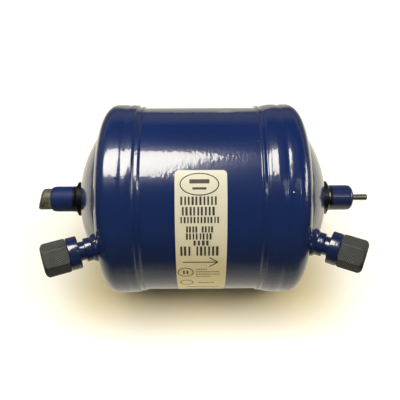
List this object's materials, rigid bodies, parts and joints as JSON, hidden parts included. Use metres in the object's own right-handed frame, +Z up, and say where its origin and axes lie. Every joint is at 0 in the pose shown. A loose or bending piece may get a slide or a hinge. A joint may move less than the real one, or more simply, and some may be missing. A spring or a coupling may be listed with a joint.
{
  "type": "filter drier",
  "caption": "Welded steel suction-line filter drier with a solder stub in each domed head and capped access valves beside the stubs.",
  "frame": {"origin": "middle of the shell, on the drier's axis", "axes": "+X is the flow direction along the axis, from the inlet stub to the outlet stub; +Z is up with the drier lying on the skirts of its heads; -Y is the front, where the access valves stand"},
  "size_m": [0.1577, 0.0907, 0.0886],
  "materials": {
    "blue_paint": "glossy baked enamel on steel",
    "plug_plastic": "worn olive plastic",
    "bright_steel": "bare drawn wire",
    "label_film": "satin white label film",
    "desiccant": "moulded molecular sieve and alumina, rough",
    "felt": "pressed felt",
    "plain_steel": "plain pressed sheet",
    "spring_steel": "drawn spring wire",
    "brass": "turned",
    "cap_plastic": "moulded nylon, finely hatched",
    "seal_rubber": "moulded rubber disc"
  },
  "bodies": {
    "drier": {"shell_tube": "blue_paint", "inlet_head": "blue_paint", "outlet_head": "blue_paint", "inlet_fitting": "blue_paint", "outlet_fitting": "blue_paint", "inlet_plug": "plug_plastic", "outlet_plug": "blue_paint", "outlet_plug_stem": "bright_steel", "label": "label_film", "desiccant_core": "desiccant", "inlet_pad": "felt", "outlet_pad": "felt", "inlet_plate": "plain_steel", "outlet_plate": "plain_steel", "outlet_screen": "plain_steel", "inlet_spring": "spring_steel", "inlet_valve_body": "blue_paint", "inlet_core_body": "brass", "inlet_core_spring": "spring_steel", "outlet_valve_body": "blue_paint", "outlet_core_body": "brass", "outlet_core_spring": "spring_steel"},
    "inlet_cap_seal": {"inlet_cap_seal": "seal_rubber"},
    "inlet_cap": {"inlet_cap": "cap_plastic"},
    "inlet_core_pin": {"inlet_core_pin": "brass"},
    "outlet_cap_seal": {"outlet_cap_seal": "seal_rubber"},
    "outlet_cap": {"outlet_cap": "cap_plastic"},
    "outlet_core_pin": {"outlet_core_pin": "brass"}
  },
  "joints": [
    {"name": "inlet_cap_travel", "type": "slide", "parent": "drier", "child": "inlet_cap_seal", "axis": [-0.9304, -0.3629, 0.051], "range_m": [0, 0.0067]},
    {"name": "inlet_cap_turn", "type": "hinge", "parent": "inlet_cap_seal", "child": "inlet_cap", "pos_m": [-0.04972, -0.03373, 0.00474], "axis": [-0.9304, -0.3629, 0.051], "range_deg": [0, 1901.2]},
    {"name": "inlet_core_press", "type": "slide", "parent": "drier", "child": "inlet_core_pin", "axis": [0.9304, 0.3629, -0.051], "range_m": [0, 0.0012], "stiffness_N_per_m": 600, "springref_m": -0.002, "deforming": ["inlet_core_spring"]},
    {"name": "outlet_cap_travel", "type": "slide", "parent": "drier", "child": "outlet_cap_seal", "axis": [0.9018, -0.4279, 0.0601], "range_m": [0, 0.0067]},
    {"name": "outlet_cap_turn", "type": "hinge", "parent": "outlet_cap_seal", "child": "outlet_cap", "pos_m": [0.05114, -0.03145, 0.00442], "axis": [0.9018, -0.4279, 0.0601], "range_deg": [0, 1901.2]},
    {"name": "outlet_core_press", "type": "slide", "parent": "drier", "child": "outlet_core_pin", "axis": [-0.9018, 0.4279, -0.0601], "range_m": [0, 0.0012], "stiffness_N_per_m": 600, "springref_m": -0.002, "deforming": ["outlet_core_spring"]}
  ],
  "couplings": [
    {"joint": "inlet_cap_turn", "follows": "inlet_cap_travel", "rad_per_m": 4947.4},
    {"joint": "outlet_cap_turn", "follows": "outlet_cap_travel", "rad_per_m": 4947.4}
  ]
}
